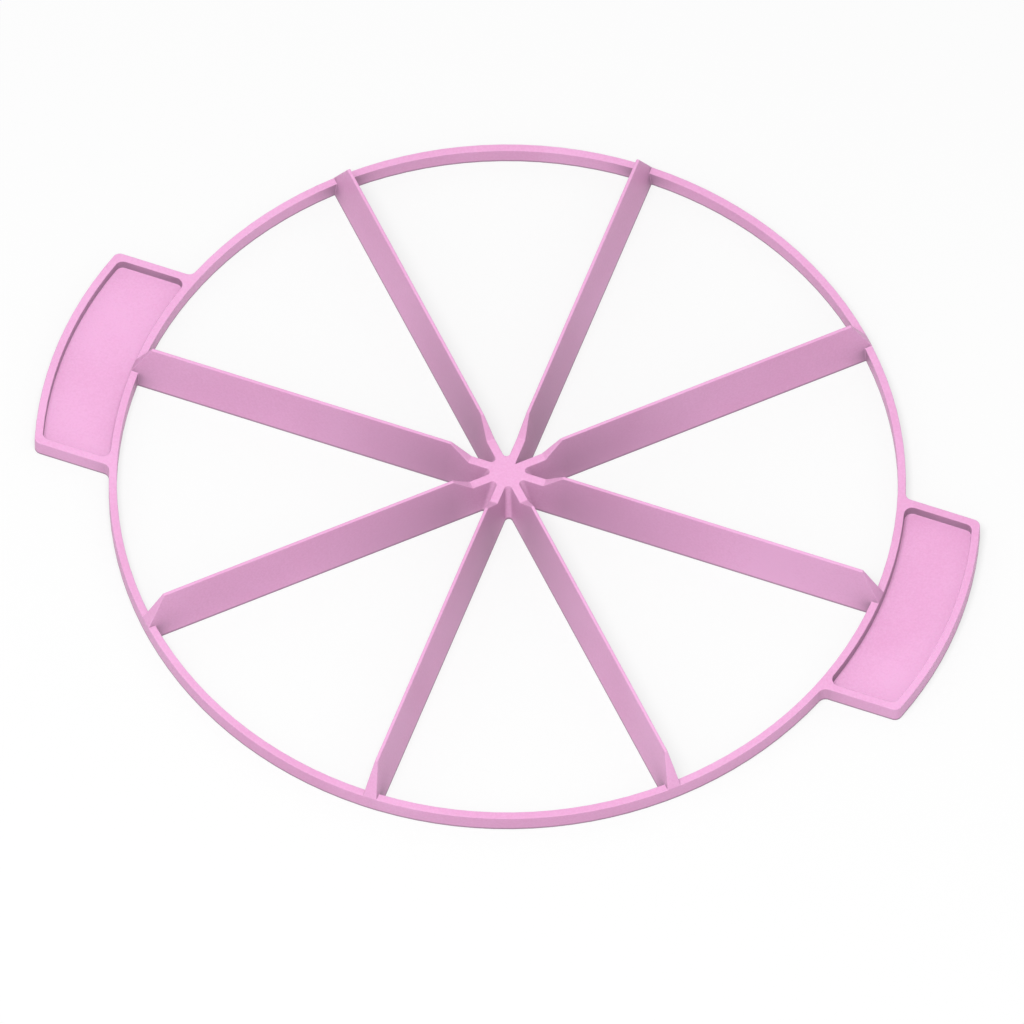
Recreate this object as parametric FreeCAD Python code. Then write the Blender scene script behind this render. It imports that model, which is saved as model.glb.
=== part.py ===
"""Cake portion marker: a moulded wheel whose blades press the lines of equal slices into a cake.

The marker is one moulding. A thin ring carries eight tapered blades that meet in a low
hub, and two grip tabs with a shallow pocket stand out from the ring on opposite sides.
It lies on its flat underside with the thin marking edges up. X runs along the two tabs,
Z points up, and the origin is the centre of the hub on the underside. Lengths are in
millimetres and angles in degrees.
"""

import FreeCAD, Part
import math
import os

# Ring
RING_RADIUS = 100.0          # outer wall of the ring
RING_WALL = 2.0
RING_HEIGHT = 5.0

# Blades
PORTIONS = 8                 # one blade between each two portions
BLADE_HEIGHT = 15.0
BLADE_FOOT = 5.0             # thickness at the underside
BLADE_EDGE = 0.8             # thickness at the marking edge
OUTER_SLOPE_RUN = 5.0        # the marking edge ends this far inside the ring's outer wall

# Hub
HUB_HEIGHT = 10.0            # level of the flat star where the blades meet
HUB_RADIUS = 10.0            # the flat star ends here and the blades start to rise
HUB_SLOPE = 45.0             # rise of the blades out of the star
HUB_FILLET = 1.0             # rounding of the upright hollow between two blades
SHARP_HOLLOW = 1             # the one hollow left sharp, 0 being the first after the +X blade

# Grip tabs
TAB_WIDTH = 60.0
TAB_REACH = 20.0             # from the ring's outer wall to the tip of the tab
TAB_END_RADIUS = 100.0       # curve of the tab's outer end
TAB_CORNER_RADIUS = 2.0
TAB_ROOT_RADIUS = 2.0        # hollow where the tab's side leaves the ring

# Pocket in the top of each tab
POCKET_RIM = 2.0             # wall left along the sides and the outer end
POCKET_FLOOR = 2.0           # thickness left under the pocket
POCKET_CORNER_RADIUS = 2.0

# Worked out from the sizes above
PORTION_ANGLE = 360.0 / PORTIONS
CENTRE = FreeCAD.Vector(0, 0, 0)
UP = FreeCAD.Vector(0, 0, 1)

SHAPE_TOLERANCE = 0.001      # two places closer than this are the same place


def edge_place(edge):
    """The middle of an edge's bounding box."""
    return edge.BoundBox.Center


def upright_edges(solid):
    """The straight edges of a solid that run parallel to Z."""
    found = []
    for edge in solid.Edges:
        sideways = math.hypot(edge.BoundBox.XLength, edge.BoundBox.YLength)
        if edge.BoundBox.ZLength > SHAPE_TOLERANCE and sideways < SHAPE_TOLERANCE:
            found.append(edge)
    return found


def near_edge(solid, old):
    """The upright edge of a changed solid that stands where an edge of the old one stood."""
    return min(upright_edges(solid), key=lambda edge: edge_place(edge).distanceToPoint(edge_place(old)))


def disc(radius, height, base=0.0, centre_x=0.0):
    """A round plate that lies flat, with its axis parallel to Z."""
    return Part.makeCylinder(radius, height, FreeCAD.Vector(centre_x, 0, base))


def both_ways(solid):
    """The solid and its copy turned half a turn about the hub."""
    turned = solid.copy()
    turned.rotate(CENTRE, UP, 180)
    return [solid, turned]


def tab_outline(inset, height, base=0.0):
    """A tab along +X from the hub to its curved end, pulled in on both sides and the end by inset."""
    half_width = TAB_WIDTH / 2 - inset
    tip = RING_RADIUS + TAB_REACH
    corner = FreeCAD.Vector(0, -half_width, base)
    strip = Part.makeBox(tip, 2 * half_width, height, corner)
    end = disc(TAB_END_RADIUS - inset, height, base, tip - TAB_END_RADIUS)
    return strip.common(end)


def tab_pocket():
    """The shallow hollow in the top of the tab at +X, from the ring's outer wall to the rim."""
    depth = RING_HEIGHT - POCKET_FLOOR
    hollow = tab_outline(POCKET_RIM, depth, POCKET_FLOOR)
    hollow = hollow.cut(disc(RING_RADIUS, depth, POCKET_FLOOR))
    return hollow.makeFillet(POCKET_CORNER_RADIUS, upright_edges(hollow))


def ring_and_tabs():
    """The ring with its two tabs, their rounded corners and roots, and their pockets."""
    plate = disc(RING_RADIUS, RING_HEIGHT)
    for tab in both_ways(tab_outline(0.0, RING_HEIGHT)):
        plate = plate.fuse(tab)
    plate = plate.removeSplitter()
    corners = []
    roots = []
    for edge in upright_edges(plate):
        place = edge_place(edge)
        on_side = abs(abs(place.y) - TAB_WIDTH / 2) < SHAPE_TOLERANCE
        if on_side and math.hypot(place.x, place.y) > RING_RADIUS + SHAPE_TOLERANCE:
            corners.append(edge)
        elif on_side:
            roots.append(edge)
    plate = plate.makeFillet(TAB_CORNER_RADIUS, corners)
    plate = plate.makeFillet(TAB_ROOT_RADIUS, [near_edge(plate, edge) for edge in roots])
    plate = plate.cut(disc(RING_RADIUS - RING_WALL, RING_HEIGHT))
    for pocket in both_ways(tab_pocket()):
        plate = plate.cut(pocket)
    return plate


def blade_bar(turn):
    """One blade from the hub's axis to the ring's outer wall, before its ends are sloped."""
    foot = BLADE_FOOT / 2
    edge = BLADE_EDGE / 2
    section = [(-foot, 0), (foot, 0), (edge, BLADE_HEIGHT), (-edge, BLADE_HEIGHT), (-foot, 0)]
    wire = Part.makePolygon([FreeCAD.Vector(0, y, z) for y, z in section])
    bar = Part.Face(wire).extrude(FreeCAD.Vector(RING_RADIUS, 0, 0))
    bar.rotate(CENTRE, UP, turn)
    return bar


def hollow_number(edge):
    """Which hollow between two blades an edge stands in, counted round from the +X blade."""
    place = edge_place(edge)
    turn = math.degrees(math.atan2(place.y, place.x)) % 360
    return int(turn // PORTION_ANGLE)


def blade_star():
    """All blades joined at the hub, with the hollows between neighbours rounded except one."""
    bars = [blade_bar(PORTION_ANGLE * place) for place in range(PORTIONS)]
    star = bars[0].multiFuse(bars[1:]).removeSplitter()
    hollow_reach = BLADE_FOOT / 2 / math.sin(math.pi / PORTIONS) + SHAPE_TOLERANCE
    rounded = []
    for edge in star.Edges:
        ends = [vertex.Point for vertex in edge.Vertexes]
        rises = edge.BoundBox.ZLength > BLADE_HEIGHT / 2
        at_hub = all(math.hypot(end.x, end.y) < hollow_reach for end in ends)
        if rises and at_hub and hollow_number(edge) != SHARP_HOLLOW:
            rounded.append(edge)
    return star.makeFillet(HUB_FILLET, rounded)


def height_envelope():
    """The round body that trims the star: flat hub, slope up, level edge, slope down to the ring."""
    shoulder = HUB_RADIUS + (BLADE_HEIGHT - HUB_HEIGHT) / math.tan(math.radians(HUB_SLOPE))
    profile = [
        (0, 0),
        (RING_RADIUS, 0),
        (RING_RADIUS, RING_HEIGHT),
        (RING_RADIUS - OUTER_SLOPE_RUN, BLADE_HEIGHT),
        (shoulder, BLADE_HEIGHT),
        (HUB_RADIUS, HUB_HEIGHT),
        (0, HUB_HEIGHT),
        (0, 0),
    ]
    wire = Part.makePolygon([FreeCAD.Vector(radius, 0, height) for radius, height in profile])
    body = Part.Face(wire).revolve(CENTRE, UP, 360)
    # The seam of the round faces falls between two blades, so that it divides no blade's slope.
    body.rotate(CENTRE, UP, PORTION_ANGLE / 2)
    return body


def portion_marker():
    """The whole moulding as one solid."""
    blades = blade_star().common(height_envelope())
    return ring_and_tabs().fuse(blades).removeSplitter()


def write_part(name, shape):
    """Write one node's solid and print what it measures."""
    os.makedirs("parts", exist_ok=True)
    solid = shape.Solids[0]
    solid.exportStep(f"parts/{name}.step")
    box = solid.optimalBoundingBox(True, False)
    print(name, "solids", len(shape.Solids), "valid", shape.isValid(), "faces", len(solid.Faces))
    print("  size", round(box.XLength, 3), round(box.YLength, 3), round(box.ZLength, 3))
    print("  lowest", round(box.ZMin, 3), "volume cm3", round(solid.Volume / 1000, 3))


write_part("portion_marker", portion_marker())
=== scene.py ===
# %% [markdown]
# # A cake portion marker in moulded pink plastic
#
# The object is one moulding: a thin ring, eight tapered blades that meet in a low hub, and two
# grip tabs with a shallow pocket. A baker presses it on the top of a cake, and the thin edges of
# the blades mark eight equal portions.
#
# Its shape comes from the CAD model, which arrives here from model.glb. Blender adds what the CAD
# model doesn't hold: the small rounding of the moulded edges, the plastic, the light, the floor
# and the camera. This lesson goes through them in that order. Lengths are in metres, and MM turns
# millimetres into metres.

# %% Load the CAD model and keep its box
import math

import bpy
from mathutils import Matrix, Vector

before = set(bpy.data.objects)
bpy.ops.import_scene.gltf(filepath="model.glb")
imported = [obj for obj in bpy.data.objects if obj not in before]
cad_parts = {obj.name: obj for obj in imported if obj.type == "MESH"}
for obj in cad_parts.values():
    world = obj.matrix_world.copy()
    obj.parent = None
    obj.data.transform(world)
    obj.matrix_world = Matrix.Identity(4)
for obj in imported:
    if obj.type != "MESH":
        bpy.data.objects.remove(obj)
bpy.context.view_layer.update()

MM = 0.001
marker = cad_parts["portion_marker"]
print("marker arrives with", len(marker.data.polygons), "faces")

# %% [markdown]
# ## Soften the moulded edges
#
# A steel mould never gives a knife-sharp corner. The molten plastic draws back a little, and the
# toolmaker rounds each edge by about 0.2 mm so that it fills well and feels pleasant in the hand.
# On the real marker that rounding catches a fine line of light along each rim and blade, and it
# is most of what makes an edge look moulded and not cut from paper.
#
# The edges could be rounded in the CAD model, but 0.2 mm on every edge would make its solid heavy
# for no use. A stack of modifiers does it on the fly and leaves the CAD mesh as it came:
#
# 1. Weld joins the faces, which arrive as separate patches.
# 2. Decimate dissolves the triangles of each flat face into one face, so that the next step meets
#    real edges only.
# 3. Bevel rounds every edge that turns by more than a set angle, in two small steps.
# 4. Weighted Normal lets the large faces decide the shading, so that they stay flat and the
#    facets of the round walls run smoothly into each other. A weight of 50 is neutral, and a
#    higher one gives the large faces more say.

# %% Round the edges by 0.2 mm
EDGE_ROUNDING = 0.2 * MM
ROUNDING_STEPS = 2
SAME_PLACE = 0.001 * MM
FLAT_WITHIN = math.radians(0.3)
EDGE_TURNS_BY = math.radians(25)
LARGE_FACE_WEIGHT = 80


def add_modifier(thing, title, kind, **settings):
    """Adds a modifier with its settings."""
    modifier = thing.modifiers.new(title, kind)
    for name, value in settings.items():
        setattr(modifier, name, value)


add_modifier(marker, "join_patches", "WELD", merge_threshold=SAME_PLACE)
add_modifier(
    marker,
    "one_face_per_flat",
    "DECIMATE",
    decimate_type="DISSOLVE",
    angle_limit=FLAT_WITHIN,
)
add_modifier(
    marker,
    "moulded_edges",
    "BEVEL",
    width=EDGE_ROUNDING,
    segments=ROUNDING_STEPS,
    limit_method="ANGLE",
    angle_limit=EDGE_TURNS_BY,
    miter_outer="MITER_SHARP",
    use_clamp_overlap=False,
)
add_modifier(
    marker,
    "flat_faces_lead",
    "WEIGHTED_NORMAL",
    mode="FACE_AREA",
    weight=LARGE_FACE_WEIGHT,
)
rounded = marker.evaluated_get(bpy.context.evaluated_depsgraph_get()).data
print("rounded marker has", len(rounded.polygons), "faces")

# %% [markdown]
# ## Two small tools for the materials
#
# Colours are written as sRGB hex values, the way a paint shop or a picture shows them. A shader
# works with linear light, so one function turns the one into the other.
#
# Every material is a tree of nodes. One function adds a node, sets what it is given, and links it
# where a value is another node's output. That keeps each tree readable as a short recipe.


# %% Colour and node helpers
def linear(hex_colour):
    """The linear RGBA of an sRGB hex colour."""
    channels = []
    for place in (1, 3, 5):
        value = int(hex_colour[place : place + 2], 16) / 255
        if value <= 0.04045:
            channels.append(value / 12.92)
        else:
            channels.append(((value + 0.055) / 1.055) ** 2.4)
    return (*channels, 1.0)


def add_node(tree, kind, inputs=None, **settings):
    """Adds a node, applies its settings, and fills or links its inputs."""
    node = tree.nodes.new(kind)
    for name, value in settings.items():
        setattr(node, name, value)
    for name, value in (inputs or {}).items():
        socket = node.inputs[name]
        if isinstance(value, bpy.types.NodeSocket):
            tree.links.new(value, socket)
        else:
            socket.default_value = value
    return node


def new_material(name):
    """An empty node material, with the node that its surface is plugged into."""
    material = bpy.data.materials.new(name)
    material.use_nodes = True
    material.node_tree.nodes.clear()
    output = add_node(material.node_tree, "ShaderNodeOutputMaterial")
    return material, material.node_tree, output


SAMPLE_PINK = "#F4B2DE"
print("pink", SAMPLE_PINK, "in linear light", [round(v, 3) for v in linear(SAMPLE_PINK)])

# %% [markdown]
# ## The plastic: injection-moulded polypropylene
#
# Kitchen tools like this one are moulded in polypropylene, coloured right through with pink
# granules. It has a soft, slightly waxy sheen, because the steel of the mould is blasted to a fine
# matt grain. Its index of refraction is 1.49. Its roughness is typically 0.4 to 0.5: the windows of
# a room show on it as a wide pale glow and never as a picture.
#
# A single pink would look like a drawing. Marks of making and use that the real plastic has are
# added, each at its own size, and painted shade is added beside the hub, on the pocket walls and
# along the foot:
#
# - the pigment flows with the melt and settles in clouds some 45 mm long, a shade lighter or deeper
# - the flanks of the blades are deeper beside the hub, partly gate blush and mostly painted shade
# - the walls of the pockets get a painted shade, deeper and greyer
# - edges that are rubbed in use and in the drawer turn a little paler and smoother
# - the foot of the walls gets a painted shadow where it meets the floor
# - the blasted skin has a fine grain

# %% Start the material and place its patterns
plastic, tree, surface_output = new_material("polypropylene_pink_injection_moulded")

# Object coordinates are in metres, so a pattern that repeats every s millimetres has the scale
# 1 / (s * MM). The grain of a blasted mould is 0.05 to 0.1 mm wide, far finer than a pixel of the
# picture, which is 0.25 mm. It is drawn at 0.6 mm, as coarse as it needs to be to show. A noise
# adds finer layers to itself: Detail counts them, and Roughness tells how strong they are.
CLOUD_SIZE = 45 * MM
CLOUD_DISTORTION = 0.6
GRAIN_SIZE = 0.6 * MM
GRAIN_LAYER_STRENGTH = 0.6
NOISE_LAYERS = 2.0
coordinates = add_node(tree, "ShaderNodeTexCoord")
place = coordinates.outputs["Object"]
clouds = add_node(
    tree,
    "ShaderNodeTexNoise",
    {
        "Vector": place,
        "Scale": 1 / CLOUD_SIZE,
        "Detail": NOISE_LAYERS,
        "Distortion": CLOUD_DISTORTION,
    },
)
grain = add_node(
    tree,
    "ShaderNodeTexNoise",
    {
        "Vector": place,
        "Scale": 1 / GRAIN_SIZE,
        "Detail": NOISE_LAYERS,
        "Roughness": GRAIN_LAYER_STRENGTH,
    },
)
print("patterns per metre: clouds", round(1 / CLOUD_SIZE, 1), "grain", round(1 / GRAIN_SIZE))

# %% [markdown]
# ## Pigment clouds
#
# The melt enters at the hub and runs out along the blades into the ring, so the pigment is drawn
# out into soft streaks. A noise texture with a little distortion gives such streaks. It only moves
# between two pinks that are very close, because good masterbatch is nearly even. The pits of the
# fine grain look a touch deeper than its peaks, so the grain has a share in the mix.
#
# The Mix node has a row of sockets for each kind of value, and the rows share their names. So the
# sockets of its colour row are reached by number.

# %% Mix two close pinks by the slow and the fine noise
PINK_LIGHT = linear("#FABAE7")
PINK_DEEP = linear("#F1ADDB")
GRAIN_SHARE = 0.6
NOISE_MEAN = 0.5
NOISE_SPREAD = 0.18
COLOUR_A, COLOUR_B, COLOUR_OUT = 6, 7, 2
grain_part = add_node(
    tree,
    "ShaderNodeMath",
    {0: grain.outputs["Fac"], 1: GRAIN_SHARE},
    operation="MULTIPLY",
)
both_noises = add_node(
    tree,
    "ShaderNodeMath",
    {0: clouds.outputs["Fac"], 1: grain_part.outputs["Value"]},
    operation="ADD",
)
mean_of_both = NOISE_MEAN + NOISE_MEAN * GRAIN_SHARE
cloud_strength = add_node(
    tree,
    "ShaderNodeMapRange",
    {
        "Value": both_noises.outputs["Value"],
        "From Min": mean_of_both - NOISE_SPREAD,
        "From Max": mean_of_both + NOISE_SPREAD,
    },
)
pigment = add_node(
    tree,
    "ShaderNodeMix",
    {
        "Factor": cloud_strength.outputs["Result"],
        COLOUR_A: PINK_DEEP,
        COLOUR_B: PINK_LIGHT,
    },
    data_type="RGBA",
)
print("red in the pigment runs from", round(PINK_DEEP[0], 2), "to", round(PINK_LIGHT[0], 2))

# %% [markdown]
# ## Three measures of a place
#
# Most of the other marks depend on where a place is. Three measures tell that in the marker's own
# coordinates, so the marks stay put however the marker is turned or lit: how steep the face is, how
# high the place is above the underside, and how far it is from the axis of the hub.
#
# Steepness comes from the upright part of the face's direction, which is 1 on a level face and 0
# on an upright wall. Above 0.9 a face is no wall at all, and below 0.5 it is one in full.

# %% Measure steepness, height and distance from the hub
LEVEL_ABOVE, WALL_BELOW = 0.9, 0.5
KEEP_X_AND_Y = (1.0, 1.0, 0.0)
HUB_SLOPE = math.radians(45)
faces = add_node(tree, "ShaderNodeSeparateXYZ", {"Vector": coordinates.outputs["Normal"]})
levelness = add_node(
    tree,
    "ShaderNodeMath",
    {0: faces.outputs["Z"]},
    operation="ABSOLUTE",
)
steepness = add_node(
    tree,
    "ShaderNodeMapRange",
    {
        "Value": levelness.outputs["Value"],
        "From Min": LEVEL_ABOVE,
        "From Max": WALL_BELOW,
    },
)
heights = add_node(tree, "ShaderNodeSeparateXYZ", {"Vector": place})
in_plan = add_node(
    tree,
    "ShaderNodeVectorMath",
    {0: place, 1: KEEP_X_AND_Y},
    operation="MULTIPLY",
)
from_hub = add_node(
    tree,
    "ShaderNodeVectorMath",
    {0: in_plan.outputs["Vector"]},
    operation="LENGTH",
)
slope_share = (LEVEL_ABOVE - math.cos(HUB_SLOPE)) / (LEVEL_ABOVE - WALL_BELOW)
print("the slope of the hub counts as a wall by", round(slope_share, 2))

# %% [markdown]
# ## Gate blush and painted shade beside the hub
#
# The melt enters the mould at the hub and is squeezed from there into the thin blades. Where it
# turns into them the pigment is sheared most, and the flanks stay a shade deeper, which moulders
# call gate blush. The picture's flanks also deepen towards the hub more than soft light alone
# makes them, so most of this deepening is painted shade, far stronger than gate blush on a real
# moulding.
#
# It sets in at the hub's slope, is strongest 16 to 20 mm out, and fades away along the blade and
# up its flank. Three Map Range nodes draw that. One rises, one falls, and one weakens the shade
# with height.

# %% Deepen the flanks beside the hub with gate blush and painted shade
# Partly gate blush, mostly painted shade: a deeper pink on the flanks beside the hub.
PINK_BLUSH_AND_SHADE = linear("#D59DC4")
BLUSH_SHADE_STARTS, BLUSH_SHADE_STRONG_FROM = 9 * MM, 16 * MM
BLUSH_SHADE_STRONG_TO, BLUSH_SHADE_ENDS = 20 * MM, 58 * MM
BLUSH_SHADE_TOP, BLUSH_SHADE_AT_TOP = 15 * MM, 0.4
blush_shade_sets_in = add_node(
    tree,
    "ShaderNodeMapRange",
    {
        "Value": from_hub.outputs["Value"],
        "From Min": BLUSH_SHADE_STARTS,
        "From Max": BLUSH_SHADE_STRONG_FROM,
    },
)
blush_shade_fades_out = add_node(
    tree,
    "ShaderNodeMapRange",
    {
        "Value": from_hub.outputs["Value"],
        "From Min": BLUSH_SHADE_ENDS,
        "From Max": BLUSH_SHADE_STRONG_TO,
    },
)
blush_shade_fades_up = add_node(
    tree,
    "ShaderNodeMapRange",
    {
        "Value": heights.outputs["Z"],
        "From Max": BLUSH_SHADE_TOP,
        "To Min": 1.0,
        "To Max": BLUSH_SHADE_AT_TOP,
    },
)
hub_blush_and_shade = steepness.outputs["Result"]
for share in (blush_shade_sets_in, blush_shade_fades_out, blush_shade_fades_up):
    hub_blush_and_shade = add_node(
        tree,
        "ShaderNodeMath",
        {0: hub_blush_and_shade, 1: share.outputs["Result"]},
        operation="MULTIPLY",
    ).outputs["Value"]
# Mix in the painted shade and gate blush beside the hub.
with_blush_and_shade = add_node(
    tree,
    "ShaderNodeMix",
    {"Factor": hub_blush_and_shade, COLOUR_A: pigment.outputs[COLOUR_OUT], COLOUR_B: PINK_BLUSH_AND_SHADE},
    data_type="RGBA",
)
print("flow shade fades out", round(BLUSH_SHADE_ENDS / MM), "mm from the hub's axis")

# %% [markdown]
# ## Painted shade on the pocket walls
#
# Ambient Occlusion tells how closely a spot is surrounded by its own object, here within 9 mm. In
# the pockets of the tabs it finds the walls, and they get a painted shade, a deeper and greyer pink
# where the pockets hold shade. Steepness leaves the floors of the pockets out. Distance keeps the
# hub out: its flanks have their own shade. The node gives 1 in the open and less in a hollow, and
# each spot looks about in eight directions.

# %% Paint shade on the walls of the pockets
# A deeper, greyer pink painted on the pocket walls as shade.
PINK_POCKET_SHADE = linear("#B088A6")
HOLLOW_REACH = 9 * MM
DIRECTIONS = 8
OPEN_ABOVE, HOLLOW_BELOW = 0.95, 0.5
DEEPEST_TONE = 0.75
POCKETS_NEAR, POCKETS_FROM = 85 * MM, 97 * MM
surrounded = add_node(
    tree,
    "ShaderNodeAmbientOcclusion",
    {"Distance": HOLLOW_REACH},
    samples=DIRECTIONS,
    only_local=True,
)
closeness = add_node(
    tree,
    "ShaderNodeMapRange",
    {
        "Value": surrounded.outputs["AO"],
        "From Min": OPEN_ABOVE,
        "From Max": HOLLOW_BELOW,
        "To Max": DEEPEST_TONE,
    },
)
far_out = add_node(
    tree,
    "ShaderNodeMapRange",
    {
        "Value": from_hub.outputs["Value"],
        "From Min": POCKETS_NEAR,
        "From Max": POCKETS_FROM,
    },
)
painted_pocket_shade = steepness.outputs["Result"]
for share in (closeness, far_out):
    painted_pocket_shade = add_node(
        tree,
        "ShaderNodeMath",
        {0: painted_pocket_shade, 1: share.outputs["Result"]},
        operation="MULTIPLY",
    ).outputs["Value"]
# Mix in the painted shade on the pocket walls.
with_pocket_shade = add_node(
    tree,
    "ShaderNodeMix",
    {"Factor": painted_pocket_shade, COLOUR_A: with_blush_and_shade.outputs[COLOUR_OUT], COLOUR_B: PINK_POCKET_SHADE},
    data_type="RGBA",
)
print("pocket walls take on the deeper pink by up to", DEEPEST_TONE)

# %% [markdown]
# ## Rubbed edges
#
# The Bevel node gives the direction the surface would face if its edges were rounder than they
# are. Where that differs from the real direction there is an edge. The dot product of the two is 1
# where they agree, and it falls at an edge. Taking away the places that the moulding surrounds
# leaves the outer edges, and those are the ones that fingers, cake and drawer rub.

# %% Find the outer edges
PINK_RUBBED = linear("#FBC8EA")
RUBBED_WIDTH = 0.5 * MM
RUBBED_STRENGTH = 0.25
SAMPLES_PER_EDGE = 4
EDGE_BEGINS, EDGE_IN_FULL = 0.995, 0.85
geometry = add_node(tree, "ShaderNodeNewGeometry")
rounder = add_node(
    tree,
    "ShaderNodeBevel",
    {"Radius": RUBBED_WIDTH},
    samples=SAMPLES_PER_EDGE,
)
alike = add_node(
    tree,
    "ShaderNodeVectorMath",
    {0: rounder.outputs["Normal"], 1: geometry.outputs["Normal"]},
    operation="DOT_PRODUCT",
)
edge_found = add_node(
    tree,
    "ShaderNodeMapRange",
    {
        "Value": alike.outputs["Value"],
        "From Min": EDGE_BEGINS,
        "From Max": EDGE_IN_FULL,
    },
)
rubbed = add_node(
    tree,
    "ShaderNodeMath",
    {0: edge_found.outputs["Result"], 1: closeness.outputs["Result"]},
    operation="SUBTRACT",
    use_clamp=True,
)
rubbed_softly = add_node(
    tree,
    "ShaderNodeMath",
    {0: rubbed.outputs["Value"], 1: RUBBED_STRENGTH},
    operation="MULTIPLY",
)
worn_colour = add_node(
    tree,
    "ShaderNodeMix",
    {
        "Factor": rubbed_softly.outputs["Value"],
        COLOUR_A: with_pocket_shade.outputs[COLOUR_OUT],
        COLOUR_B: PINK_RUBBED,
    },
    data_type="RGBA",
)
print("rubbed edges reach", round(RUBBED_WIDTH / MM, 1), "mm from the corner")

# %% [markdown]
# ## A painted shadow along the foot
#
# Along the foot of every wall, in the lowest 0.9 mm, the pink is painted a little deeper and
# greyer. It is a painted shadow: from a step away it reads as the fine line of shade that a thing
# has where it touches the table. Height places it, and steepness keeps the flat underside pink.

# %% Paint a shadow along the foot of the walls
# A deeper, greyer pink painted along the foot as a shadow.
PINK_FOOT_SHADOW = linear("#AE88A3")
FOOT_HEIGHT = 0.9 * MM
FOOT_FULL_BELOW = 0.35 * MM
foot = add_node(
    tree,
    "ShaderNodeMapRange",
    {
        "Value": heights.outputs["Z"],
        "From Min": FOOT_HEIGHT,
        "From Max": FOOT_FULL_BELOW,
    },
)
painted_foot_shadow = add_node(
    tree,
    "ShaderNodeMath",
    {0: foot.outputs["Result"], 1: steepness.outputs["Result"]},
    operation="MULTIPLY",
)
# Mix in the painted shadow along the foot.
with_foot_shadow = add_node(
    tree,
    "ShaderNodeMix",
    {
        "Factor": painted_foot_shadow.outputs["Value"],
        COLOUR_A: worn_colour.outputs[COLOUR_OUT],
        COLOUR_B: PINK_FOOT_SHADOW,
    },
    data_type="RGBA",
)
print("shaded foot is", round(FOOT_HEIGHT / MM, 1), "mm high")

# %% [markdown]
# ## The light it sends on
#
# A pink wall sends pink light on to its neighbours. Between close blades that glow adds up, and
# the hollows turn a hot pink, where the picture shows a calm, greyer shade of the same pink. Light
# Path tells the rays that light other faces apart from those that show the plastic itself. Only
# the first kind meets a greyer and darker pink, so the plastic keeps its colour and the shade in
# the hollows stays calm. In a studio, small grey cards beside the object would do much the same.

# %% Calm the pink glow between the blades
PINK_SENT_ON = linear("#A4989F")
which_ray = add_node(tree, "ShaderNodeLightPath")
colour_met = add_node(
    tree,
    "ShaderNodeMix",
    {
        "Factor": which_ray.outputs["Is Diffuse Ray"],
        COLOUR_A: with_foot_shadow.outputs[COLOUR_OUT],
        COLOUR_B: PINK_SENT_ON,
    },
    data_type="RGBA",
)
print("share of red, green and blue sent on", [round(v, 2) for v in PINK_SENT_ON[:3]])

# %% [markdown]
# ## Matt mould grain
#
# The blasted grain is very shallow. It tilts the surface by a few degrees and makes the sheen
# slightly uneven, which the eye reads as matt plastic. Rubbed edges are smoother and shine more.
# Most values of the noise lie between 0.3 and 0.7, so that span covers the range of roughness.
#
# The Mix node mixes two plain numbers here, and its row of sockets for them is also reached by
# number.

# %% Give the skin its grain
GRAIN_DEPTH = 0.045 * MM
NOISE_LOW, NOISE_HIGH = 0.3, 0.7
SATIN, SATIN_DULL, SATIN_RUBBED = 0.42, 0.52, 0.33
NUMBER_A, NUMBER_B, NUMBER_OUT = 2, 3, 0
grain_bump = add_node(
    tree,
    "ShaderNodeBump",
    {"Height": grain.outputs["Fac"], "Distance": GRAIN_DEPTH, "Strength": 1.0},
)
skin_roughness = add_node(
    tree,
    "ShaderNodeMapRange",
    {
        "Value": grain.outputs["Fac"],
        "From Min": NOISE_LOW,
        "From Max": NOISE_HIGH,
        "To Min": SATIN,
        "To Max": SATIN_DULL,
    },
)
worn_roughness = add_node(
    tree,
    "ShaderNodeMix",
    {
        "Factor": rubbed_softly.outputs["Value"],
        NUMBER_A: skin_roughness.outputs["Result"],
        NUMBER_B: SATIN_RUBBED,
    },
    data_type="FLOAT",
)
print("roughness runs from", SATIN, "to", SATIN_DULL)

# %% [markdown]
# ## Put the plastic together
#
# The Principled shader takes the colour, the roughness and the grain. The sky shows at full
# strength in reflections, though it lights the marker with less than half of it. So the specular
# level is half its usual 0.5, and the sheen is as strong as that light would give. A little light
# enters the plastic and comes out up to a millimetre or so away, which softens the shade on the
# thin blades, so a small share of subsurface scattering is set. Red travels furthest in a pink
# plastic.

# %% Plug the recipe into the shader and paint the marker
POLYPROPYLENE_IOR = 1.49
SHEEN_LEVEL = 0.25
LIGHT_ENTERS_SHARE = 0.08
LIGHT_TRAVELS = 1.0 * MM
RED_GREEN_BLUE_TRAVEL = (1.0, 0.5, 0.8)
body = add_node(
    tree,
    "ShaderNodeBsdfPrincipled",
    {
        "Base Color": colour_met.outputs[COLOUR_OUT],
        "Roughness": worn_roughness.outputs[NUMBER_OUT],
        "Normal": grain_bump.outputs["Normal"],
        "IOR": POLYPROPYLENE_IOR,
        "Specular IOR Level": SHEEN_LEVEL,
        "Subsurface Weight": LIGHT_ENTERS_SHARE,
        "Subsurface Scale": LIGHT_TRAVELS,
        "Subsurface Radius": RED_GREEN_BLUE_TRAVEL,
    },
)
tree.links.new(body.outputs["BSDF"], surface_output.inputs["Surface"])
marker.data.materials.clear()
marker.data.materials.append(plastic)
print("plastic has", len(tree.nodes), "nodes")

# %% [markdown]
# ## The floor
#
# The marker lies on a plain pale studio floor, which catches its soft shadow. One plane makes it,
# so wide that its edges lie far outside the picture. It lies a fiftieth of a millimetre below the
# underside of the marker, because two faces in the same place would render with speckles.

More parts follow.
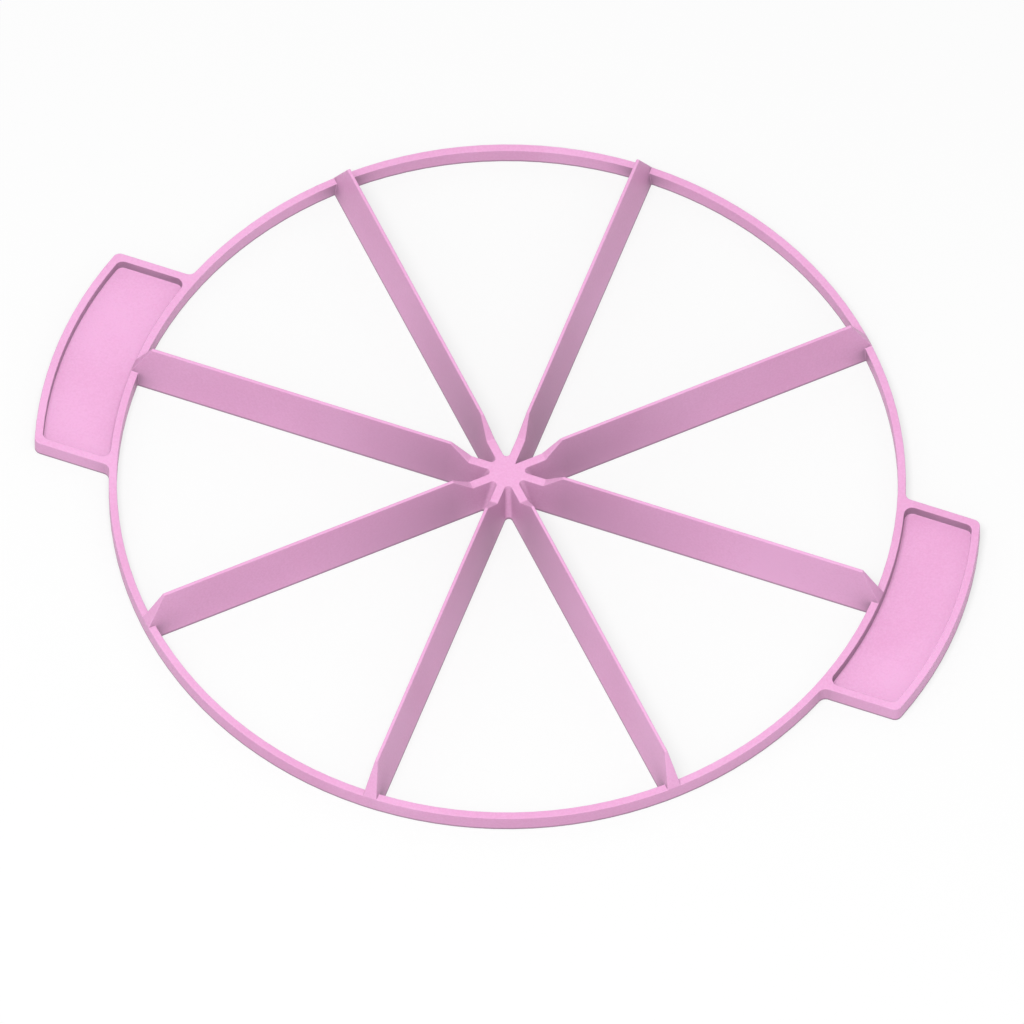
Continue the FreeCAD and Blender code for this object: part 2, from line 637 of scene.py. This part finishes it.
# %% Lay the floor just under the marker
FLOOR_SIDE = 12.0
FLOOR_GAP = 0.02 * MM
bpy.ops.mesh.primitive_plane_add(size=FLOOR_SIDE, location=(0, 0, -FLOOR_GAP))
floor = bpy.context.object
floor.name = "studio_floor"
print("floor", FLOOR_SIDE, "m square,", FLOOR_GAP / MM, "mm under the marker")

# %% [markdown]
# To the light the floor is pale grey paint, so that it sends soft light up to the walls of the ring
# and blades as a real table does. To the camera it is part white paint and part plain white: the
# background is then as white as in a catalogue, and the soft shadow beside the blades still shows.
# Light Path tells the camera's own rays from the others. Reflections and clear materials count with
# the camera, so that they show the same white.


# %% Paint the floor
def seen_directly(node_tree):
    """1 on the rays of the camera, of reflections and of clear materials, and 0 on the others."""
    path = add_node(node_tree, "ShaderNodeLightPath")
    total = path.outputs["Is Camera Ray"]
    for ray in ("Is Glossy Ray", "Is Transmission Ray"):
        total = add_node(
            node_tree,
            "ShaderNodeMath",
            {0: total, 1: path.outputs[ray]},
            operation="MAXIMUM",
        ).outputs["Value"]
    return total


PAINT_IN_LIGHT = linear("#DFDFDF")
PAINT_SEEN = linear("#FDFDFD")
PLAIN_WHITE_SHARE = 0.6
paint, floor_tree, floor_output = new_material("studio_floor_pale_paint")
direct_view = seen_directly(floor_tree)
white_share = add_node(
    floor_tree,
    "ShaderNodeMath",
    {0: direct_view, 1: PLAIN_WHITE_SHARE},
    operation="MULTIPLY",
)
paint_colour = add_node(
    floor_tree,
    "ShaderNodeMix",
    {"Factor": direct_view, COLOUR_A: PAINT_IN_LIGHT, COLOUR_B: PAINT_SEEN},
    data_type="RGBA",
)
matt_white = add_node(
    floor_tree,
    "ShaderNodeBsdfDiffuse",
    {"Color": paint_colour.outputs[COLOUR_OUT]},
)
plain_white = add_node(floor_tree, "ShaderNodeEmission", {"Strength": 1.0})
floor_look = add_node(
    floor_tree,
    "ShaderNodeMixShader",
    {
        0: white_share.outputs["Value"],
        1: matt_white.outputs["BSDF"],
        2: plain_white.outputs["Emission"],
    },
)
floor_tree.links.new(floor_look.outputs["Shader"], floor_output.inputs["Surface"])
floor.data.materials.append(paint)
print("floor is", PLAIN_WHITE_SHARE, "plain white where it is seen")

# %% [markdown]
# ## The light
#
# Two sources at a plain level, where a colour renders about as it is written. A white card facing
# up gets 1.0 in all: 0.4 from a pale sky all round, and 0.6 from one large round soft box high
# above. The soft box hangs in front of the marker and a little to its left. So the top faces are
# brightest, and upright walls in the open are a fifth to two fifths darker: least where they face
# the camera, and most where they face right. Where the sky is seen it is plain white, as the floor
# nearly is.

# %% Set the pale sky
SKY_LEVEL = 0.4
scene = bpy.context.scene
world = bpy.data.worlds.new("studio_sky")
scene.world = world
world.use_nodes = True
sky_tree = world.node_tree
sky_tree.nodes.clear()
sky_level = add_node(
    sky_tree,
    "ShaderNodeMapRange",
    {"Value": seen_directly(sky_tree), "To Min": SKY_LEVEL, "To Max": 1.0},
)
sky = add_node(
    sky_tree,
    "ShaderNodeBackground",
    {"Color": (1.0, 1.0, 1.0, 1.0), "Strength": sky_level.outputs["Result"]},
)
sky_output = add_node(sky_tree, "ShaderNodeOutputWorld")
sky_tree.links.new(sky.outputs["Background"], sky_output.inputs["Surface"])
print("sky lights with", SKY_LEVEL)

# %% [markdown]
# A round lamp of radius r that faces a white card from a distance h lights it to a level k when
# its power is k * pi^2 * (r^2 + h^2) watts. That lets the level be chosen first and the power
# worked out. The lamp hangs 18.5 degrees from straight above, and a level card gets the cosine of
# that, so a level of 0.63 gives the 0.6 that is wanted. Its side is counted from the picture's
# right, against the clock and seen from above.

# %% Hang the soft box
SOFT_BOX_LEVEL = 0.63
SOFT_BOX_RADIUS = 0.58
SOFT_BOX_DISTANCE = 2.0
SOFT_BOX_LEAN = math.radians(18.5)
VIEW_TURN = math.radians(20.22)
SOFT_BOX_SIDE = math.radians(-106)

reach_squared = SOFT_BOX_RADIUS**2 + SOFT_BOX_DISTANCE**2
lamp = bpy.data.lights.new("soft_box", "AREA")
lamp.shape = "DISK"
lamp.size = 2 * SOFT_BOX_RADIUS
lamp.energy = SOFT_BOX_LEVEL * math.pi**2 * reach_squared
soft_box = bpy.data.objects.new("soft_box", lamp)
scene.collection.objects.link(soft_box)
lamp_turn = SOFT_BOX_SIDE + VIEW_TURN
lamp_direction = Vector(
    (
        math.sin(SOFT_BOX_LEAN) * math.cos(lamp_turn),
        math.sin(SOFT_BOX_LEAN) * math.sin(lamp_turn),
        math.cos(SOFT_BOX_LEAN),
    )
)
soft_box.location = lamp_direction * SOFT_BOX_DISTANCE
soft_box.rotation_mode = "QUATERNION"
soft_box.rotation_quaternion = lamp_direction.to_track_quat("Z", "Y")
soft_box.visible_camera = False
print("soft box", round(lamp.energy, 2), "W at", [round(v, 2) for v in soft_box.location])

# %% [markdown]
# ## The camera
#
# The picture to match is a parallel projection: blades of equal length measure the same at the
# front and at the back. So the camera is orthographic. It looks down from 57.83 degrees, turned
# by 20.22 degrees round the marker, and a millimetre is 3.986 pixels wide. The middle of the
# picture lies 1.17 mm right of the marker's origin and 4.99 mm below it.

# %% Point the camera
VIEW_RISE = math.radians(57.83)
PICTURE_SIDE = 1024
PIXELS_PER_MM = 3.986
AIM_RIGHT, AIM_DOWN = 1.17 * MM, 4.99 * MM
CAMERA_DISTANCE = 1.0

right = Vector((math.cos(VIEW_TURN), math.sin(VIEW_TURN), 0))
back = Vector(
    (
        math.sin(VIEW_TURN) * math.cos(VIEW_RISE),
        -math.cos(VIEW_TURN) * math.cos(VIEW_RISE),
        math.sin(VIEW_RISE),
    )
)
up = back.cross(right)
camera_data = bpy.data.cameras.new("picture_camera")
camera_data.type = "ORTHO"
camera_data.ortho_scale = PICTURE_SIDE / PIXELS_PER_MM * MM
camera = bpy.data.objects.new("picture_camera", camera_data)
scene.collection.objects.link(camera)
camera.location = right * AIM_RIGHT - up * AIM_DOWN + back * CAMERA_DISTANCE
camera.rotation_mode = "QUATERNION"
camera.rotation_quaternion = back.to_track_quat("Z", "Y")
scene.camera = camera
scene.view_settings.view_transform = "Standard"
print("picture is", round(camera_data.ortho_scale / MM, 1), "mm wide")
